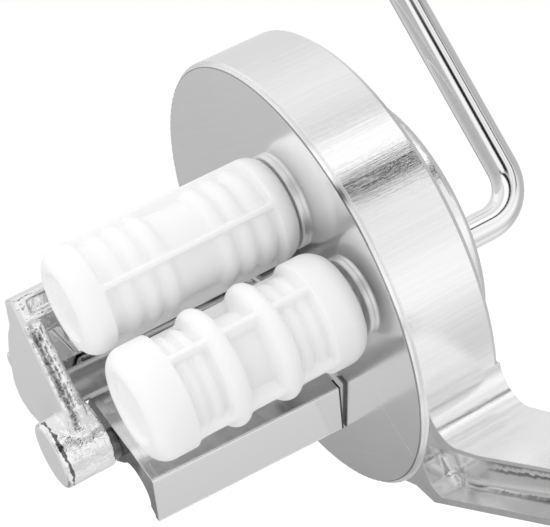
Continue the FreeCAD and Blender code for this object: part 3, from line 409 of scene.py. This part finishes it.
casting = make_casting()
mirror = make_mirror()
chrome = make_metal("bright_chrome", (0.94, 0.94, 0.94), 0.05, ripple=60.0, depth=0.04)
cast_chrome = make_cast_chrome()
sheet_steel = make_sheet()
plastic = make_plastic()
wood = make_wood()
steel = make_metal("turned_steel", (0.80, 0.80, 0.80), 0.22)
bronze = make_metal("turned_bronze", (0.72, 0.55, 0.34), 0.3)
dark_steel = make_metal("dark_steel", (0.22, 0.22, 0.22), 0.35)
satin_steel = make_metal("satin_steel", (0.88, 0.88, 0.88), 0.42)

dress = {                               # every other node is turned steel
    casting: ["housing"],
    mirror: ["face_plate"],
    chrome: ["crank_rod", "end_nut", "tommy_caps"],
    cast_chrome: ["end_bracket"],
    sheet_steel: ["chute"],
    plastic: ["lower_roller", "upper_roller"],
    wood: ["grip"],
    bronze: ["lower_back_bush", "upper_back_bush"],
    dark_steel: ["chute_spacer"],
    satin_steel: ["lower_front_bush", "upper_front_bush"],
}
given = {node: material for material, names in dress.items() for node in names}
for name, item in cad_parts.items():
    for slot in item.material_slots:
        slot.material = given.get(name, steel)


# ---------------------------------------------------------------- pieces that take a node's place
def settle(made):
    """Turns a piece's modifiers into its mesh."""
    graph = bpy.context.evaluated_depsgraph_get()
    mesh = bpy.data.meshes.new_from_object(made.evaluated_get(graph))
    made.modifiers.clear()
    made.data = mesh
    return mesh


def soften(made, voxel, rounds):
    """Gives a piece one closed skin with rounded edges; the voxel is in mm."""
    remesh = made.modifiers.new("skin", "REMESH")
    remesh.mode = "VOXEL"
    remesh.voxel_size = voxel / 1000
    smooth = made.modifiers.new("soft", "SMOOTH")
    smooth.factor = 0.5
    smooth.iterations = rounds
    mesh = settle(made)
    mesh.shade_smooth()
    return mesh


def piece(name, form, material, body, node):
    """A new object from a bmesh that rides on a body and stands for a CAD node."""
    mesh = bpy.data.meshes.new(name)
    form.to_mesh(mesh)
    form.free()
    made = bpy.data.objects.new(name, mesh)
    scene.collection.objects.link(made)
    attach(made, body)
    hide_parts(node)
    mesh.materials.clear()
    mesh.materials.append(material)
    return made


def from_node(name):
    """A CAD node's mesh with its faces joined."""
    form = bmesh.new()
    form.from_mesh(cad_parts[name].data)
    bmesh.ops.remove_doubles(form, verts=form.verts, dist=1e-6)
    return form


def add_rod(form, start, end, radius):
    """A round bar with ball ends."""
    way = end - start
    turned = way.to_track_quat("Z", "Y").to_matrix().to_4x4()
    bmesh.ops.create_cone(form, cap_ends=True, segments=24, radius1=radius, radius2=radius,
                          depth=way.length, matrix=Matrix.Translation((start + end) / 2) @ turned)
    for centre in (start, end):
        bmesh.ops.create_uvsphere(form, u_segments=20, v_segments=12, radius=radius,
                                  matrix=Matrix.Translation(centre))


def add_hull(form, corners):
    made = [form.verts.new(corner) for corner in corners]
    bmesh.ops.convex_hull(form, input=made)


def press_groove(mesh):
    """Presses an uneven groove into the front of the end bracket's web."""
    low, high, half_width, depth = 39.0, 59.0, 1.0, 0.9
    inward = []
    for vert in mesh.vertices:
        near = 1.0 - abs(vert.co.x * 1000 - WEB_GROOVE_X) / half_width
        if near > 0 and vert.normal.y < -0.35 and low < vert.co.z * 1000 < high:
            rough = 0.75 + 0.35 * math.sin(vert.co.z * 5200) * math.sin(vert.co.z * 1900)
            inward.append((vert, mm(0, depth * min(1.0, near * 1.8) * rough, 0)))
    for vert, shift in inward:
        vert.co += shift


def make_cast_bracket():
    """The end bracket as a casting: soft edges, a round bead, and a web that runs into the boss."""
    form = from_node("end_bracket")
    bead_x, bead_radius = END_PLATE_X + 0.75, 0.00085
    bead = [by_drum(bead_x, y, z) for y, z in (
        (-0.1, 13.6), (-0.9, 4.0), (-1.3, -3.0), (0.2, -6.0), (2.4, -7.4))]
    for start, end in zip(bead, bead[1:]):
        add_rod(form, start, end, bead_radius)
    add_hull(form, [by_drum(*corner) for corner in (
        (-58.0, 0.0, -8.5), (-53.3, 0.3, -8.5), (-58.0, 7.5, -7.0), (-53.3, 7.5, -7.0),
        (-57.0, -0.8, 0.5), (-55.1, -0.8, 0.5), (-57.0, 4.0, 0.5), (-55.1, 4.0, 0.5))])
    made = piece("cast_end_bracket", form, cast_chrome, "frame", "end_bracket")
    press_groove(soften(made, voxel=0.3, rounds=7))


def make_moulded_roller(name, body):
    """A roller with the soft edges of a moulding."""
    made = piece(f"moulded_{name}", from_node(name), plastic, body, name)
    soften(made, voxel=0.28, rounds=4)


def make_folded_chute():
    """The sheet with a strip below its crest that reaches the end bracket."""
    strip = bmesh.new()
    add_hull(strip, [by_drum(x, y, z) for x in (-54.4, -49.0) for y, z in (
        (13.4, -4.85), (14.512, -5.45), (14.5, 1.35), (15.563, 0.476))])
    mesh = bpy.data.meshes.new("strip")
    strip.to_mesh(mesh)
    strip.free()
    tool = bpy.data.objects.new("strip", mesh)
    made = piece("folded_chute", from_node("chute"), sheet_steel, "frame", "chute")
    joined = made.modifiers.new("join", "BOOLEAN")
    joined.operation = "UNION"
    joined.solver = "EXACT"
    joined.object = tool
    settle(made)
    bpy.data.objects.remove(tool)


def make_threaded_screw():
    """The clamp screw with a real M10 thread cut into its shank; its sizes are in metres."""
    top, low = -0.0402, -0.0989
    outer, pitch, depth, run_out = 0.005, 0.0015, 0.00092, 0.0015
    around, rows_per_turn = 48, 12
    form = from_node("clamp_screw")
    shank = [face for face in form.faces if abs(face.normal.z) < 0.1 and all(
        abs(math.hypot(vert.co.x, vert.co.y) - outer) < 1e-4 for vert in face.verts)]
    bmesh.ops.delete(form, geom=shank, context="FACES")
    rows = int((top - low) / pitch * rows_per_turn)
    grid = []
    for row in range(rows + 1):
        z = top + (low - top) * row / rows
        fade = min(1.0, (top - z) / run_out, (z - low) / run_out)
        ring = []
        for step in range(around):
            turned = step / around
            share = (z / pitch + turned) % 1.0
            cut = max(0.0, min(1.0, 1.15 - abs(share - 0.5) * 2.6))     # flat crest, sloped sides
            radius = outer - depth * cut * fade
            ring.append(form.verts.new((radius * math.cos(turned * 2 * math.pi),
                                        radius * math.sin(turned * 2 * math.pi), z)))
        grid.append(ring)
    for upper, lower in zip(grid, grid[1:]):
        for step in range(around):
            after = (step + 1) % around
            form.faces.new((upper[step], lower[step], lower[after], upper[after])).smooth = True
    piece("threaded_clamp_screw", form, steel, "screw_body", "clamp_screw")


make_moulded_roller("upper_roller", "upper_set")
make_moulded_roller("lower_roller", "crank")
make_cast_bracket()
make_folded_chute()
make_threaded_screw()


# ---------------------------------------------------------------- lamps
def lamp(name, position, side, power):
    """A soft square lamp that points at the machine and leaves no highlight of its own."""
    data = bpy.data.lights.new(name, "AREA")
    data.shape = "RECTANGLE"
    data.size = side
    data.size_y = side
    data.energy = power
    made = bpy.data.objects.new(name, data)
    scene.collection.objects.link(made)
    made.location = mm(*position)
    way = mm(0, 130, 50) - made.location
    made.rotation_euler = way.to_track_quat("-Z", "Y").to_euler()
    made.visible_glossy = False


lamp("key", (-600, -350, 650), side=0.7, power=0.7)
lamp("top", (100, 300, 900), side=0.9, power=0.7)


# ---------------------------------------------------------------- the studio that metal mirrors
class Sky(Tree):
    """Soft panels all round, by azimuth (0 is -Y, + towards +X) and elevation, in degrees."""

    def __init__(self):
        world = bpy.data.worlds.new("studio")
        scene.world = world
        super().__init__(world)
        self.background = self.tree.nodes["Background"]
        way = self.node("TexCoord").outputs["Generated"]
        x, y, self.z = self.node("SeparateXYZ", {0: way}).outputs
        self.azimuth = self.degrees(self.maths("ARCTAN2", x, self.times(y, -1.0)))
        self.elevation = self.degrees(self.maths("ARCSINE", self.z))
        self.round = self.degrees(self.maths("ARCTAN2", self.z, y))      # about the drum's axis

    def degrees(self, angle):
        return self.times(angle, 180 / math.pi)

    def between(self, value, low, high, soft):
        rise = self.span(value, low - soft, low + soft, curve="SMOOTHSTEP")
        fall = self.span(value, high - soft, high + soft, 1.0, 0.0, curve="SMOOTHSTEP")
        return self.times(rise, fall)

    def levels(self, value, stops):
        """A level that runs through (angle, level) stops."""
        low, high = stops[0][0], stops[-1][0]
        curve = self.node("FloatCurve", {"Value": self.span(value, low, high)})
        points = curve.mapping.curves[0].points
        while len(points) < len(stops):
            points.new(0.5, 0.5)
        for point, (angle, level) in zip(points, stops):
            point.location = ((angle - low) / (high - low), level)
            point.handle_type = "VECTOR"
        curve.mapping.update()
        return curve.outputs[0]

    def panel(self, level, value, azimuths, elevations, soft, soft_ends):
        """Lays a panel of another level over a level."""
        mask = self.times(self.between(self.azimuth, *azimuths, soft),
                          self.between(self.elevation, *elevations, soft_ends))
        return self.mix(mask, level, value)


RIM_LEVELS = [                          # round the drum's axis, as the rim mirrors them
    (-180, 0.80), (-172.5, 0.85), (-162.5, 0.92), (-152.5, 0.93), (-142.5, 0.84), (-132.5, 0.72),
    (-122.5, 0.64), (-112.5, 0.61), (-102.5, 0.69), (-92.5, 0.88), (-82.5, 0.74), (-72.5, 0.66),
    (-62.5, 0.70), (-32.5, 0.58), (-22.5, 0.62), (-2.5, 0.66), (7.5, 0.73), (17.5, 0.68),
    (47.5, 0.70), (67.5, 0.76), (87.5, 0.82), (97.5, 0.80), (107.5, 0.75), (112, 0.70),
    (117.5, 0.60), (121, 0.95), (127.5, 1.0), (139, 1.0), (142, 0.80), (144, 0.0), (150.5, 0.0),
    (154, 0.62), (167.5, 0.72), (180, 0.80)]
RIM_GAIN = 1.11
CRANK_PANELS = [                        # azimuths, level and softness of the lines on the crank
    ((-110, -54), 0.52, 3.0), ((-48, -22), 1.0, 2.0), ((-20, 3), 0.02, 2.0),
    ((8, 16), 1.0, 1.5), ((25, 34), 1.0, 2.0), ((39, 46), 0.02, 1.0), ((57, 90), 0.32, 4.0)]
CRANK_ELEVATIONS = (4, 24)
PLATE_LEVELS = [                        # slanting bands on the plate
    (-180, 0.27), (-172, 0.21), (-168.5, 0.31), (-165.5, 0.36), (-160, 0.54), (-155, 0.50),
    (-150, 0.58), (-135, 0.70), (-110, 1.0), (0, 1.0)]

sky = Sky()
shine = sky.times(sky.levels(sky.round, RIM_LEVELS), RIM_GAIN)
for azimuths, value, soft in CRANK_PANELS:
    shine = sky.panel(shine, value, azimuths, CRANK_ELEVATIONS, soft, soft * 1.5)
shine = sky.panel(shine, 0.52, (62, 128), (-50, 38), 14.0, 12.0)            # what the back mirrors
slant = sky.plus(sky.azimuth, sky.plus(sky.elevation, 8.0))
shine = sky.panel(shine, sky.levels(slant, PLATE_LEVELS), (-190, -118), (-50, 120), 8.0, 8.0)

path = sky.node("LightPath")
direct = sky.maths("MAXIMUM", path.outputs["Is Camera Ray"], path.outputs["Is Transmission Ray"])
fill = sky.plus(0.97, sky.times(sky.z, 0.02))
level = sky.mix(path.outputs["Is Glossy Ray"], fill, shine)
sky.put(sky.background.inputs["Color"], sky.mix(direct, level, 1.0))

# ---------------------------------------------------------------- floor
FLOOR_HALF = 3                          # metres
FLOOR_CLEARANCE = 2.5                   # mm, below the clamp screw at its lowest

floor_mesh = bpy.data.meshes.new("floor")
floor_mesh.from_pydata([(x * FLOOR_HALF, y * FLOOR_HALF, 0) for x, y in (
    (-1, -1), (1, -1), (1, 1), (-1, 1))], [], [(0, 1, 2, 3)])
floor = bpy.data.objects.new("floor", floor_mesh)
floor.location.z = cad_box[0][2] - (SCREW_TRAVEL_DOWN + FLOOR_CLEARANCE) / 1000
scene.collection.objects.link(floor)
floor.visible_glossy = False
paper = Nodes("floor")
paper.set(Base_Color=grey(0.85), Roughness=0.9, Specular_IOR_Level=0.1)
seen = paper.node("LightPath").outputs["Is Camera Ray"]
white = paper.node("Emission", {"Color": grey(1.0), "Strength": 1.12})
shown = paper.node("MixShader", {0: paper.times(seen, 0.75), 1: paper.shader.outputs[0],
                                 2: white.outputs[0]})
paper.put(paper.out.inputs[0], shown.outputs[0])
floor_mesh.materials.append(paper.material)
